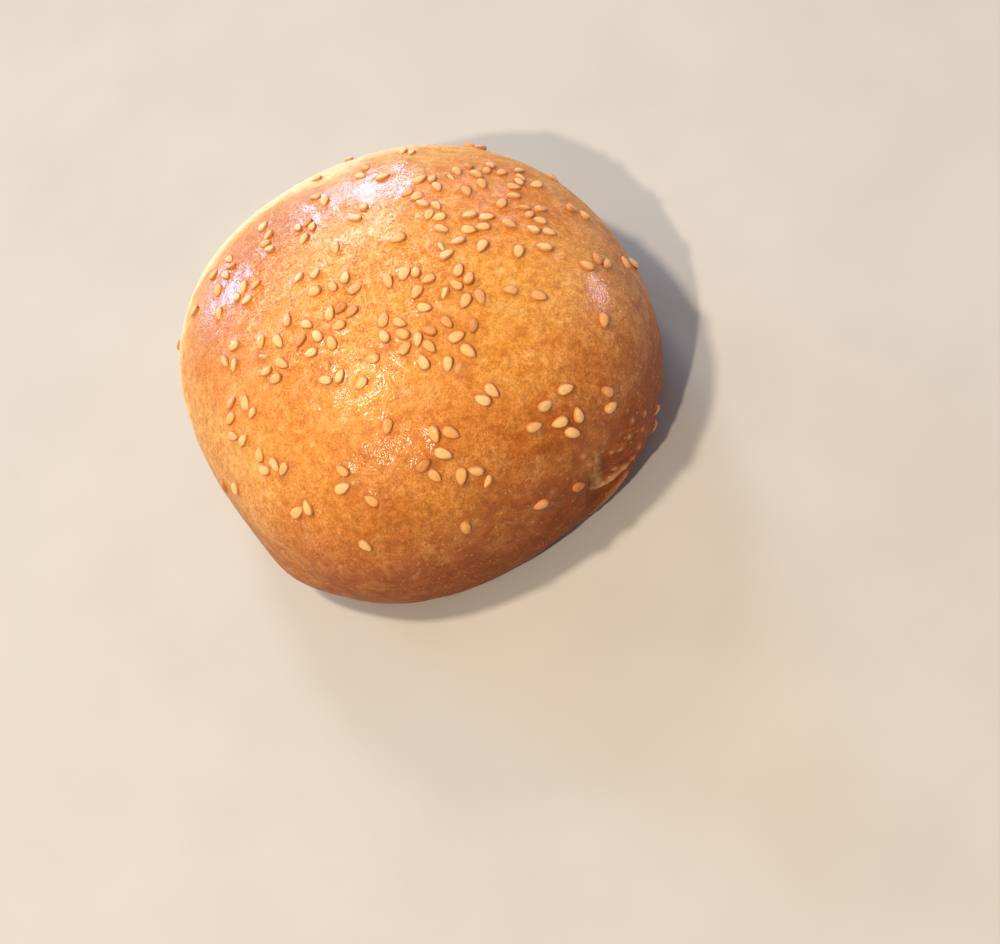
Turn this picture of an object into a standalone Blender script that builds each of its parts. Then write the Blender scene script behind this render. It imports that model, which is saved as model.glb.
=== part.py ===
"""A round baked bun with sesame seeds on its crown, as one solid that rests on its flat base.

Metres, +Z up, with the origin at the middle of the base. The near side is -Y.
"""
import math
import random

import bmesh
import bpy
from mathutils import Matrix, Vector

MM = 0.001

# Body, in mm: a dome over a waist, with a shallower curve tucked in below it
BUN_RADIUS = 45.7
BUN_HEIGHT = 48.0
WAIST_HEIGHT = 15.6
UNDER_DEPTH = 28.6
CROWN_EXPONENT = 2.2
UNDER_EXPONENT = 2.5

# Uneven plan outline: waves round the bun, with the cosine and sine share of the radius
PLAN_WAVES = (
    (2, -0.007, -0.016),
    (3, 0.010, -0.007),
    (4, -0.020, 0.001),
    (5, -0.003, 0.0),
)
PLAN_SHIFT = (-0.8, -0.3)

# Soft corner where the side turns in to the base, how far the base is pressed flat, in mm, and the least
# slope of a ray that is taken to reach it
BASE_CORNER_POWER = 28.0
BASE_PRESS = 0.2
LEAST_SLOPE = 0.015

# Low swells over the crust: height in mm, then a direction whose length is the number of waves, and the
# upright share of a ray at which they fade in
SWELLS = (
    (0.30, (2.1, 3.4, 1.2)),
    (0.24, (-4.6, 1.9, 3.1)),
    (0.16, (3.3, -6.2, 2.4)),
)
SWELL_FADE = (-0.5, 0.1)

# Pinched hollow in the near side: degrees round and up from the waist, lengths in mm, and shares of its
# span at which it has widened, come in and faded out
PINCH_TURN = 294.0
PINCH_TOP = 7.0
PINCH_SPAN = 25.0
PINCH_LEAN = -6.0
PINCH_DEPTH = 2.2
PINCH_WIDTH = 5.2
PINCH_NARROW = 0.35
PINCH_LOBE = 0.9
PINCH_LOBE_AT = 8.5
PINCH_WIDEN = 0.7
PINCH_COME = (-0.05, 0.4)
PINCH_GO = (0.6, 1.0)

# Small lobes that swell from the foot: degrees round and down from the top, height and reach in mm
LOBES = (
    (209.0, 96.0, 1.0, 7.0),
)

# Base edge that curls up off the table under the hollow, in mm and degrees
CURL_TURN = 291.0
CURL_REACH = 26.0
CURL_LIFT = 1.3
CURL_INNER = 27.0
CURL_OUTER = 41.0
CURL_FADE = 13.0

# Length in mm of a degree round the side, and the step of a ray when a normal is measured
ARC_PER_DEGREE = 0.75
NORMAL_STEP = 0.01

# Grid of the body: sides and rings, closer together towards the base, and finer round the hollow
BODY_SIDES = 54
BODY_RINGS = 20
RING_SPAN = 115.0
RING_CROWDING = 1.5
LAST_RING_SHARE = 1.01
FINE_REACH = 17.0
FINE_LOW = -23.0
FINE_HIGH = 12.0

# Sesame seed, in mm: a flat drop with a blunt end and a pointed one
SEED_LENGTH = 2.8
SEED_WIDTH = 1.7
SEED_THICKNESS = 1.05
SEED_TAPER = 0.25
SEED_SIDES = 5
SEED_RINGS = 4
SEED_RISE = 0.2
SEED_SIZE_SPREAD = 0.09
SEED_NEAR_GAIN = 0.13
SEED_TILT = 6.0
SEED_ROLL = 9.0
SEED_ON_EDGE = 0.06
EDGE_ROLL = 50.0
EDGE_RISE = -0.3
SEED_GAP = 0.12
BLUNT_AT = -0.17
BLUNT_REACH = 0.54
TIP_AT = 0.26
TIP_REACH = 0.36
SEED_TRIES = 60
SEED_DRAW = 23

# Seed groups: degrees round from +X, degrees down from the top, reach of the group in mm, seeds in it
SEED_GROUPS = (
    # crown
    (200, 6, 3.5, 3), (316, 15, 4.0, 3), (5, 17, 1.5, 1), (225, 14, 4.0, 4), (150, 16, 4.5, 3),
    (95, 15, 2.0, 1), (208, 24, 5.0, 5), (262, 27, 6.0, 6), (65, 27, 4.0, 3), (105, 28, 4.0, 3),
    # right of the crown, where they lie thickest
    (30, 34, 5.0, 5), (24, 46, 6.0, 7), (14, 56, 6.5, 9), (358, 52, 6.0, 6), (6, 31, 5.0, 4),
    (350, 37, 6.0, 6), (333, 33, 7.0, 5), (309, 26, 5.0, 4), (303, 38, 6.0, 5), (287, 37, 6.5, 9),
    (340, 51, 6.5, 4), (314, 52, 7.0, 2), (358, 70, 3.0, 2), (338, 67, 3.5, 3), (322, 69, 1.0, 1),
    # left of the crown
    (58, 47, 7.0, 6), (92, 38, 6.0, 3), (121, 42, 7.5, 7), (140, 53, 5.5, 4), (142, 34, 6.0, 3),
    (152, 45, 5.0, 2), (176, 33, 6.5, 4), (171, 46, 3.5, 3), (194, 38, 3.0, 3), (228, 33, 3.0, 3),
    # near slope
    (250, 42, 6.0, 2), (190, 55, 5.5, 6), (192, 76, 7.0, 2), (209, 59, 4.0, 4), (220, 67, 2.5, 2),
    (233, 58, 5.0, 2), (241, 65, 1.0, 1), (236, 74, 1.0, 1), (264, 60, 5.0, 6), (269, 69, 2.5, 2),
    (284, 52, 2.5, 2), (294, 69, 5.5, 6), (306, 79, 3.0, 2), (260, 79, 1.0, 1), (277, 84, 1.0, 1),
    (287, 88, 0.5, 1), (312, 98, 5.0, 2), (344, 79, 3.0, 2),
    # far slope
    (45, 66, 7.0, 2), (80, 62, 9.0, 2), (20, 77, 6.0, 1), (110, 74, 8.0, 1), (150, 70, 7.0, 1),
)

CRUST_COLOR = (0.62, 0.25, 0.065, 1.0)
CRUST_ROUGHNESS = 0.38
SHARP_ANGLE = 35.0


def clear_scene():
    """Start from an empty scene."""
    for thing in list(bpy.data.objects):
        bpy.data.objects.remove(thing, do_unlink=True)


def smooth_step(low, high, value):
    """Rise smoothly from 0 at low to 1 at high."""
    share = min(max((value - low) / (high - low), 0.0), 1.0)
    return share * share * (3.0 - 2.0 * share)


def turn_between(angle, middle):
    """Signed degrees from middle to angle, between -180 and 180."""
    return (angle - middle + 180.0) % 360.0 - 180.0


def plan_factor(azimuth):
    """Share of the mean radius that the plan outline has at an azimuth in radians."""
    share = 1.0
    for waves, cosine, sine in PLAN_WAVES:
        share += cosine * math.cos(waves * azimuth) + sine * math.sin(waves * azimuth)
    return share


def profile_reach(azimuth, elevation):
    """Distance in mm from the waist's centre to the plain dome, its underside and its base."""
    radius = BUN_RADIUS * plan_factor(azimuth)
    if elevation >= 0.0:
        height, power = BUN_HEIGHT - WAIST_HEIGHT, CROWN_EXPONENT
    else:
        height, power = UNDER_DEPTH, UNDER_EXPONENT
    across = abs(math.cos(elevation)) / radius
    upright = abs(math.sin(elevation)) / height
    reach = (across ** power + upright ** power) ** (-1.0 / power)
    if elevation >= 0.0:
        return reach
    to_base = (WAIST_HEIGHT + BASE_PRESS) / max(-math.sin(elevation), LEAST_SLOPE)
    return (reach ** -BASE_CORNER_POWER + to_base ** -BASE_CORNER_POWER) ** (-1.0 / BASE_CORNER_POWER)


def swell_height(direction):
    """Height in mm of the low swells, which die away towards the base."""
    height = 0.0
    for size, waves in SWELLS:
        height += size * math.sin(direction.dot(Vector(waves)) + size)
    return height * smooth_step(*SWELL_FADE, direction.z)


def pinch_relief(azimuth, elevation):
    """Depth in mm of the pinched hollow, less the lobe that swells beside it; angles in degrees."""
    drop = (PINCH_TOP - elevation) / PINCH_SPAN
    middle = PINCH_TURN + PINCH_LEAN * (drop - 0.5)
    across = turn_between(azimuth, middle) * ARC_PER_DEGREE
    width = PINCH_WIDTH * (PINCH_NARROW + (1.0 - PINCH_NARROW) * smooth_step(0.0, PINCH_WIDEN, drop))
    fade = smooth_step(*PINCH_COME, drop) * (1.0 - smooth_step(*PINCH_GO, drop))
    hollow = PINCH_DEPTH * math.exp(-(across / width) ** 2)
    lobe = PINCH_LOBE * math.exp(-((across - PINCH_LOBE_AT) / PINCH_WIDTH) ** 2)
    return fade * (hollow - lobe)


def lobe_height(azimuth, elevation):
    """Height in mm of the small lobes; angles in degrees."""
    height = 0.0
    for turn, drop, size, reach in LOBES:
        across = turn_between(azimuth, turn) * ARC_PER_DEGREE
        down = (90.0 - elevation - drop) * ARC_PER_DEGREE
        height += size * math.exp(-(across * across + down * down) / (reach * reach))
    return height


def curl_lift(point):
    """Height in mm that the base edge is curled up by at a point of the plain form."""
    azimuth = math.degrees(math.atan2(point.y, point.x))
    share = smooth_step(CURL_REACH, 0.0, abs(turn_between(azimuth, CURL_TURN)))
    outward = smooth_step(CURL_INNER, CURL_OUTER, math.hypot(point.x, point.y))
    fade = max(0.0, 1.0 - point.z / CURL_FADE) ** 2
    return CURL_LIFT * share * outward * fade


def surface_point(direction):
    """Point in mm where a ray from the waist's centre leaves the bun."""
    ray = direction.normalized()
    azimuth = math.atan2(ray.y, ray.x)
    elevation = math.asin(max(-1.0, min(1.0, ray.z)))
    reach = profile_reach(azimuth, elevation) + swell_height(ray)
    reach += lobe_height(math.degrees(azimuth), math.degrees(elevation))
    reach -= pinch_relief(math.degrees(azimuth), math.degrees(elevation))
    point = ray * reach + Vector((0.0, 0.0, WAIST_HEIGHT))
    point.z = max(point.z, 0.0) + curl_lift(point)
    return point + Vector((*PLAN_SHIFT, 0.0))


def tangents(direction):
    """Two directions square to a ray and to each other: round the bun, and down its side."""
    side = Vector((0.0, 0.0, 1.0)).cross(direction)
    side = side.normalized() if side.length > 1e-6 else Vector((0.0, 1.0, 0.0))
    return side, side.cross(direction).normalized()


def surface_normal(direction):
    """Outward normal of the bun where a ray leaves it."""
    side, down = (across * NORMAL_STEP for across in tangents(direction))
    across = surface_point(direction + side) - surface_point(direction - side)
    along = surface_point(direction + down) - surface_point(direction - down)
    return along.cross(across).normalized()


def ray_at(azimuth, drop):
    """Ray at degrees round from +X and degrees down from the top."""
    flat = math.sin(math.radians(drop))
    turn = math.radians(azimuth)
    return Vector((flat * math.cos(turn), flat * math.sin(turn), math.cos(math.radians(drop))))


def ring_ray(point):
    """Ray for a point of the starting sphere, whose rings crowd towards the base's edge."""
    share = math.acos(max(-1.0, min(1.0, point.z))) / math.pi * BODY_RINGS / (BODY_RINGS - 1)
    if share > LAST_RING_SHARE:
        return Vector((0.0, 0.0, -1.0))
    drop = RING_SPAN * (1.0 - (1.0 - min(share, 1.0)) ** RING_CROWDING)
    return ray_at(math.degrees(math.atan2(point.y, point.x)), drop)


def near_pinch(face):
    """Whether a face of the body lies where the hollow needs a finer grid."""
    ray = face.calc_center_median().normalized()
    azimuth = math.degrees(math.atan2(ray.y, ray.x))
    elevation = math.degrees(math.asin(ray.z))
    return abs(turn_between(azimuth, PINCH_TURN)) < FINE_REACH and FINE_LOW < elevation < FINE_HIGH


def make_object(name, grid, collection):
    """Turn a grid into an object of a collection."""
    mesh = bpy.data.meshes.new(name)
    grid.to_mesh(mesh)
    grid.free()
    thing = bpy.data.objects.new(name, mesh)
    collection.objects.link(thing)
    return thing


def build_body(collection):
    """Swell a sphere to the bun's form and make its base one flat face."""
    grid = bmesh.new()
    bmesh.ops.create_uvsphere(grid, u_segments=BODY_SIDES, v_segments=BODY_RINGS, radius=1.0)
    for vertex in grid.verts:
        vertex.co = ring_ray(vertex.co)
    fine = {edge for face in grid.faces if near_pinch(face) for edge in face.edges}
    bmesh.ops.subdivide_edges(grid, edges=list(fine), cuts=1, use_grid_fill=True)
    for vertex in grid.verts:
        vertex.co = surface_point(vertex.co) * MM
    base = [face for face in grid.faces if all(vertex.co.z == 0.0 for vertex in face.verts)]
    bmesh.ops.dissolve_faces(grid, faces=base, use_verts=True)
    bmesh.ops.recalc_face_normals(grid, faces=grid.faces[:])
    return make_object("bun", grid, collection)


def draw_seed(draw, azimuth, drop, reach):
    """Draw one seed's place and pose in mm: its matrix, its size and its two rounds for spacing."""
    ray = ray_at(azimuth, drop)
    side, down = tangents(ray)
    away = reach * math.sqrt(draw.random())
    turn = draw.uniform(0.0, 2.0 * math.pi)
    offset = side * (away * math.cos(turn)) + down * (away * math.sin(turn))
    ray = (ray + offset / BUN_RADIUS).normalized()
    heading = draw.uniform(0.0, 2.0 * math.pi)
    pitch = math.radians(draw.gauss(0.0, SEED_TILT))
    roll = math.radians(draw.gauss(0.0, SEED_ROLL))
    size = 1.0 - SEED_NEAR_GAIN * ray.y + SEED_SIZE_SPREAD * draw.uniform(-1.0, 1.0)
    on_edge = draw.random() < SEED_ON_EDGE
    rise = SEED_RISE
    if on_edge:
        roll += math.radians(EDGE_ROLL)
        rise = EDGE_RISE
    normal = surface_normal(ray)
    side, down = tangents(normal)
    along = side * math.cos(heading) + down * math.sin(heading)
    pose = Matrix((along, normal.cross(along), normal)).transposed().to_4x4()
    pose = pose @ Matrix.Rotation(pitch, 4, "Y") @ Matrix.Rotation(roll, 4, "X")
    centre = surface_point(ray) + normal * rise
    pose = Matrix.Translation(centre) @ pose
    blunt = centre + along * (BLUNT_AT * SEED_LENGTH * size)
    tip = centre + along * (TIP_AT * SEED_LENGTH * size)
    rounds = ((blunt, BLUNT_REACH * SEED_WIDTH * size), (tip, TIP_REACH * SEED_WIDTH * size))
    return pose, size, rounds


def is_clear(rounds, placed):
    """Whether a seed's rounds keep the gap to those of every seed placed before."""
    for _, _, others in placed:
        for centre, radius in rounds:
            for other, other_radius in others:
                if (centre - other).length < radius + other_radius + SEED_GAP:
                    return False
    return True


def scatter_seeds():
    """Draw the seeds group by group, each clear of the others."""
    draw = random.Random(SEED_DRAW)
    placed = []
    for azimuth, drop, reach, count in SEED_GROUPS:
        for _ in range(count):
            for _ in range(SEED_TRIES):
                seed = draw_seed(draw, azimuth, drop, reach)
                if is_clear(seed[2], placed):
                    placed.append(seed)
                    break
    return placed


def build_seed(pose, size, collection):
    """Make one faceted seed from a sphere whose poles become its two ends."""
    grid = bmesh.new()
    bmesh.ops.create_uvsphere(grid, u_segments=SEED_SIDES, v_segments=SEED_RINGS, radius=1.0)
    half = Vector((SEED_LENGTH, SEED_WIDTH, SEED_THICKNESS)) * (0.5 * size)
    for vertex in grid.verts:
        upright, across, lengthwise = vertex.co
        girth = 1.0 - SEED_TAPER * lengthwise
        local = Vector((lengthwise * half.x, across * half.y * girth, upright * half.z * girth))
        vertex.co = (pose @ local) * MM
    bmesh.ops.recalc_face_normals(grid, faces=grid.faces[:])
    return make_object("seed", grid, collection)


def fuse(body, pieces):
    """Join a collection's objects to the body by one Boolean union, then remove them."""
    union = body.modifiers.new("seeds", "BOOLEAN")
    union.operation = "UNION"
    union.operand_type = "COLLECTION"
    union.collection = pieces
    union.solver = "EXACT"
    graph = bpy.context.evaluated_depsgraph_get()
    mesh = bpy.data.meshes.new_from_object(body.evaluated_get(graph))
    body.modifiers.clear()
    body.data = mesh
    for piece in list(pieces.objects):
        bpy.data.objects.remove(piece, do_unlink=True)
    bpy.data.collections.remove(pieces)


def crust_material():
    """Golden egg-washed crust."""
    material = bpy.data.materials.new("crust")
    material.use_nodes = True
    surface = material.node_tree.nodes["Principled BSDF"]
    surface.inputs["Base Color"].default_value = CRUST_COLOR
    surface.inputs["Roughness"].default_value = CRUST_ROUGHNESS
    surface.inputs["Metallic"].default_value = 0.0
    return material


def main():
    """Build the bun."""
    clear_scene()
    parts = bpy.data.collections.new("baked_bun")
    bpy.context.scene.collection.children.link(parts)
    seeds = bpy.data.collections.new("seeds_to_fuse")
    bpy.context.scene.collection.children.link(seeds)
    body = build_body(parts)
    for pose, size, _ in scatter_seeds():
        seed = build_seed(pose, size, seeds)
        seed.hide_render = True
        seed.display_type = "WIRE"
    fuse(body, seeds)
    body.data.materials.clear()
    body.data.materials.append(crust_material())
    body.data.shade_smooth()
    body.data.set_sharp_from_angle(angle=math.radians(SHARP_ANGLE))


main()
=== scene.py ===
"""Looks of a round baked bun: its egg-washed crust and its sesame seeds, on a plain pale floor.

Lengths are in millimetres until a mesh is written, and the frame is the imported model's: +Z up, near side -Y.
"""
import math
import random

import bpy
import numpy as np
from mathutils import Matrix, Vector, noise


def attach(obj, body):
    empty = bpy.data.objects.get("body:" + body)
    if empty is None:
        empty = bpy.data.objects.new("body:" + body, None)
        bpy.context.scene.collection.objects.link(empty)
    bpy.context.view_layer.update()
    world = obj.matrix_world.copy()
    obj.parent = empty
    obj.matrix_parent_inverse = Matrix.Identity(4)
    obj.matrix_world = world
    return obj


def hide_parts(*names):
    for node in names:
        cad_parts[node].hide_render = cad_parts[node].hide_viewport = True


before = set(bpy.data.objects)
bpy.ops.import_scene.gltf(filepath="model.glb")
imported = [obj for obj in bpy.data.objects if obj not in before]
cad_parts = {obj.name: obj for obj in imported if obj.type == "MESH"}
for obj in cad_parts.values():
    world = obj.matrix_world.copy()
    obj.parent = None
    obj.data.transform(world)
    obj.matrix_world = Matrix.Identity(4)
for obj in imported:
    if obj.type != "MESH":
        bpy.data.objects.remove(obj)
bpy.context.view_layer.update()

MM = 0.001

# Body, in mm: a dome over a waist, with a shallower curve tucked in below it
BUN_RADIUS = 45.7
BUN_HEIGHT = 48.0
WAIST_HEIGHT = 15.6
UNDER_DEPTH = 28.6
CROWN_EXPONENT = 2.2
UNDER_EXPONENT = 2.5

# Uneven plan outline: waves round the bun, with the cosine and sine share of the radius
PLAN_WAVES = (
    (2, -0.007, -0.016),
    (3, 0.010, -0.007),
    (4, -0.020, 0.001),
    (5, -0.003, 0.0),
)
PLAN_SHIFT = (-0.8, -0.3)

# Soft corner where the side turns in to the base, how far the base is pressed flat, in mm, and the least
# slope of a ray that is taken to reach it
BASE_CORNER_POWER = 28.0
BASE_PRESS = 0.2
LEAST_SLOPE = 0.015

# Low swells over the crust: height in mm, then a direction whose length is the number of waves, and the
# upright share of a ray at which they fade in
SWELLS = (
    (0.30, (2.1, 3.4, 1.2)),
    (0.24, (-4.6, 1.9, 3.1)),
    (0.16, (3.3, -6.2, 2.4)),
)
SWELL_FADE = (-0.5, 0.1)

# Pinched hollow in the near side: degrees round and up from the waist, lengths in mm, and shares of its
# span at which it has widened, come in and faded out
PINCH_TURN = 294.0
PINCH_TOP = 7.0
PINCH_SPAN = 25.0
PINCH_LEAN = -6.0
PINCH_DEPTH = 2.2
PINCH_WIDTH = 5.2
PINCH_NARROW = 0.35
PINCH_LOBE = 0.9
PINCH_LOBE_AT = 8.5
PINCH_WIDEN = 0.7
PINCH_COME = (-0.05, 0.4)
PINCH_GO = (0.6, 1.0)

# Small lobes that swell from the foot: degrees round and down from the top, height and reach in mm
LOBES = (
    (209.0, 96.0, 1.0, 7.0),
)

# Base edge that curls up off the table under the hollow, in mm and degrees
CURL_TURN = 291.0
CURL_REACH = 26.0
CURL_LIFT = 1.3
CURL_INNER = 27.0
CURL_OUTER = 41.0
CURL_FADE = 13.0

# Length in mm of a degree round the side, and the step of a ray when a normal is measured
ARC_PER_DEGREE = 0.75
NORMAL_STEP = 0.01

# Sesame seed, in mm: a flat drop with a blunt end and a pointed one
SEED_LENGTH = 2.8
SEED_WIDTH = 1.7
SEED_THICKNESS = 1.05
SEED_TAPER = 0.25
SEED_RISE = 0.2
SEED_SIZE_SPREAD = 0.09
SEED_NEAR_GAIN = 0.13
SEED_TILT = 6.0
SEED_ROLL = 9.0
SEED_ON_EDGE = 0.06
EDGE_ROLL = 50.0
EDGE_RISE = -0.3
SEED_GAP = 0.12
BLUNT_AT = -0.17
BLUNT_REACH = 0.54
TIP_AT = 0.26
TIP_REACH = 0.36
SEED_TRIES = 60
SEED_DRAW = 23

# Seed groups: degrees round from +X, degrees down from the top, reach of the group in mm, seeds in it
SEED_GROUPS = (
    # crown
    (200, 6, 3.5, 3), (316, 15, 4.0, 3), (5, 17, 1.5, 1), (225, 14, 4.0, 4), (150, 16, 4.5, 3),
    (95, 15, 2.0, 1), (208, 24, 5.0, 5), (262, 27, 6.0, 6), (65, 27, 4.0, 3), (105, 28, 4.0, 3),
    # right of the crown, where they lie thickest
    (30, 34, 5.0, 5), (24, 46, 6.0, 7), (14, 56, 6.5, 9), (358, 52, 6.0, 6), (6, 31, 5.0, 4),
    (350, 37, 6.0, 6), (333, 33, 7.0, 5), (309, 26, 5.0, 4), (303, 38, 6.0, 5), (287, 37, 6.5, 9),
    (340, 51, 6.5, 4), (314, 52, 7.0, 2), (358, 70, 3.0, 2), (338, 67, 3.5, 3), (322, 69, 1.0, 1),
    # left of the crown
    (58, 47, 7.0, 6), (92, 38, 6.0, 3), (121, 42, 7.5, 7), (140, 53, 5.5, 4), (142, 34, 6.0, 3),
    (152, 45, 5.0, 2), (176, 33, 6.5, 4), (171, 46, 3.5, 3), (194, 38, 3.0, 3), (228, 33, 3.0, 3),
    # near slope
    (250, 42, 6.0, 2), (190, 55, 5.5, 6), (192, 76, 7.0, 2), (209, 59, 4.0, 4), (220, 67, 2.5, 2),
    (233, 58, 5.0, 2), (241, 65, 1.0, 1), (236, 74, 1.0, 1), (264, 60, 5.0, 6), (269, 69, 2.5, 2),
    (284, 52, 2.5, 2), (294, 69, 5.5, 6), (306, 79, 3.0, 2), (260, 79, 1.0, 1), (277, 84, 1.0, 1),
    (287, 88, 0.5, 1), (312, 98, 5.0, 2), (344, 79, 3.0, 2),
    # far slope
    (45, 66, 7.0, 2), (80, 62, 9.0, 2), (20, 77, 6.0, 1), (110, 74, 8.0, 1), (150, 70, 7.0, 1),
)

# Crust grid: cells along each side of the cap and of the base, rows between them, where the cap ends, where
# the grid is closer, and the search for the rim of the base
CAP_CELLS = 136
SIDE_ROWS = 104
CAP_DROP = 50.0
AROUND = 4 * CAP_CELLS
ROW_FOCUS = 0.68
ROW_FOCUS_WIDTH = 0.16
ROW_FOCUS_GAIN = 1.5
TURN_FOCUS_WIDTH = 14.0
TURN_FOCUS_GAIN = 2.5
SPREAD_SAMPLES = 2000
RIM_SEARCH = (100.0, 135.0)
RIM_STEPS = 24

# Noise of the form: how far apart its patterns and octaves lie, in waves
NOISE_SHIFT = (17.3, 5.1, 9.7)
OCTAVE_STEP = 3.0

# Soft ripples and skin of the crust: height in mm, then noise as its wave in mm, pattern and octaves
RIPPLES = (
    (0.22, (9.0, 1, 2)),
    (0.05, (2.2, 2, 1)),
)

# Crust drawn up round each seed, dents in the base, and heights at which relief and folds fade in, in mm
MENISCUS_HEIGHT = 0.16
MENISCUS_REACH = 0.7
LEAST_RING = 0.2
BASE_DENT = 0.3
DENT_NOISE = (7.0, 3, 2)
RELIEF_FADE = (0.0, 3.0)
FOLD_FADE = (0.4, 2.5)

# Folds in the hollow, in mm across and down from its pit: height, half-width, and the line that each follows
PIT_TURN = 294.0
PIT_DROP = 86.0
FOLDS = (
    (-1.2, 0.5, ((1.05, 0.1), (0.95, 0.9))),
    (-0.35, 0.8, ((1.1, 1.3), (-0.05, 6.1))),
    (-0.9, 1.7, ((-1.4, 4.4), (-2.8, 7.2))),
    (0.9, 0.6, ((-9.5, 16.6), (-4.5, 16.4), (1.3, 14.8), (4.6, 12.6), (7.6, 10.6))),
    (0.7, 0.55, ((-2.4, 8.6), (-1.0, 10.4), (0.6, 10.9), (1.9, 10.6), (4.8, 9.6), (7.7, 7.4),
                 (10.1, 4.8))),
    (0.5, 0.8, ((-0.4, 0.4), (-2.0, 2.4), (-4.4, 5.4), (-5.8, 9.8))),
    (0.3, 0.4, ((-0.2, -0.9), (1.0, -1.4), (2.1, -0.5), (2.3, 1.4))),
    (-0.22, 0.4, ((-0.5, -0.1), (-3.4, -0.8), (-7.8, 0.2))),
    (-0.2, 0.4, ((-1.2, 1.0), (-4.4, 1.6), (-8.6, 3.6))),
    (-0.2, 0.45, ((0.9, -1.8), (0.2, -4.6), (-1.0, -8.0))),
    (-0.18, 0.5, ((2.6, -1.2), (5.2, -3.8), (6.6, -7.6))),
)

# Points where raised folds run out, and over how many mm; then how far folds wander across, in mm
FOLD_ENDS = (
    (-9.5, 16.6, 3.0),
    (7.6, 10.6, 3.5),
    (10.1, 4.8, 4.0),
)
WANDER = 0.4
WANDER_NOISE = (3.0, 6)

# Colours in the hollow: mask, how far it reaches in mm, and the line that it follows; then the lit crests
# shade and pit are painted shade; the crests carry a painted highlight
COLOUR_LINES = (
    ("skin", 0.9, ((1.1, 1.2), (-0.05, 6.1), (-0.6, 9.6))),
    ("shade", 1.5, ((-1.0, 3.6), (-2.6, 6.6), (-3.2, 10.0))),
    ("pit_shade", 0.5, ((1.05, 0.0), (0.95, 0.9))),
)
CREST_REACH = 0.5
CREST_LINES = (
    ((-2.4, 8.6), (-1.0, 10.4), (0.6, 10.9), (1.9, 10.6), (4.8, 9.6)),
    ((-8.5, 16.8), (-4.5, 16.4), (1.3, 14.8), (4.6, 12.6)),
)

# Blisters about the hollow, in the same mm across and down
BLISTERS = (
    (1.9, 10.5), (4.5, 9.5), (3.1, 8.6), (3.7, 3.0), (5.0, 3.7), (6.2, 8.6), (7.7, 7.4),
    (7.2, 2.8), (10.0, 5.0), (-1.5, -2.9), (-1.3, -0.3), (9.2, 1.0), (12.0, 3.4),
)
BLISTER_HEIGHT = 0.26
BLISTER_REACH = 0.48

# Where the crust is pale or deep brown, in degrees round and down, with ragged bounds; each pair of shares
# is a least one and what is added to it
RAGGED_REACH = 6.5
RAGGED_NOISE = (11.0, 4, 3)
PALE_TURN = 85.0
PALE_REACH = 102.0
PALE_DROP_FAR = 46.0
PALE_DROP_NEAR = 92.0
PALE_FADE = (0.0, 12.0)
PALE_SHARES = (0.05, 0.92)
CREAM_TURN = 110.0
CREAM_REACH = 68.0
BISCUIT_FADE = (14.0, 34.0)
BISCUIT_RAGGED = 1.5
BAND_ABOVE = 11.0
BAND_WIDTH = 11.0
BROWN_TURN = 286.0
BROWN_REACH = 98.0
BROWN_DROP = 56.0
BROWN_SPAN = 37.0
BROWN_SHARES = (0.3, 0.7)
FRONT_TURN = 262.0
FRONT_REACH = 40.0
FRONT_RAISE = 17.0
FRONT_SPAN = 22.0
WASH_EDGE = (6.0, -2.0)
WASH_FOOT = (110.0, 84.0)

# Heights in mm where the side takes the base's colour, and reach of the painted contact shade round a seed
UNDERSIDE_FADE = (1.6, 0.2)
SEED_SHADE_REACH = 0.5

# Patches of pale honey and of deeper orange: degrees round and down, reach in either, strength
HONEY_PATCHES = (
    (200.0, 62.0, 32.0, 17.0, 1.0),
    (325.0, 63.0, 20.0, 13.0, 0.8),
)
EMBER_PATCHES = (
    (266.0, 54.0, 26.0, 13.0, 0.65),
    (222.0, 73.0, 22.0, 12.0, 0.55),
    (12.0, 60.0, 34.0, 16.0, 0.4),
    (140.0, 43.0, 50.0, 16.0, 1.0),
)

# Painted glints in the curls about the crown: its middle in degrees round and down, its reach in degrees
GLINT_PATCH_MIDDLE = (120.0, 10.0)
GLINT_PATCH_REACH = 39.0
GLINT_PATCH_SHARES = (0.14, 0.86)

# Seed grid, the powers that round its sides, and each seed's own form in shares of its half sizes
SEED_SIDES = 22
SEED_RINGS = 15
ACROSS_POWER = 0.9
FLANK_POWER = 0.8
UPRIGHT_POWER = 0.6
TIP_PINCH = 0.10
TIP_PINCH_FROM = 0.5
TIP_STRETCH = 0.03
TIP_STRETCH_FROM = 0.4
SEED_RIM = 0.08
SEED_RIM_AT = 0.78
SEED_RIM_WIDTH = 0.12
SEED_RIDGE = 0.18
SEED_RIDGE_WIDTH = 0.2
SEED_BEND = 0.08
SEED_BEND_AT = 0.3
SEED_CUP = 0.12

# Each seed's own shade and glaze, from 0 to 1, and where its tip and rim darken, in shares of the half sizes
SEED_LOOK_DRAW = 5
TOASTED_SHARE = 0.07
TOASTED_SHADE = (0.75, 1.0)
PLAIN_SHADE = 0.6
PLAIN_SHADE_POWER = 1.4
GLAZE_POWER = 2.5
TIP_FADE = (0.55, 1.0)
# the rim darkens with the seed's own darker edge and painted contact shade
RIM_FADE = (0.72, 0.97)
STREAK_SHARE = 0.35

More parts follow.
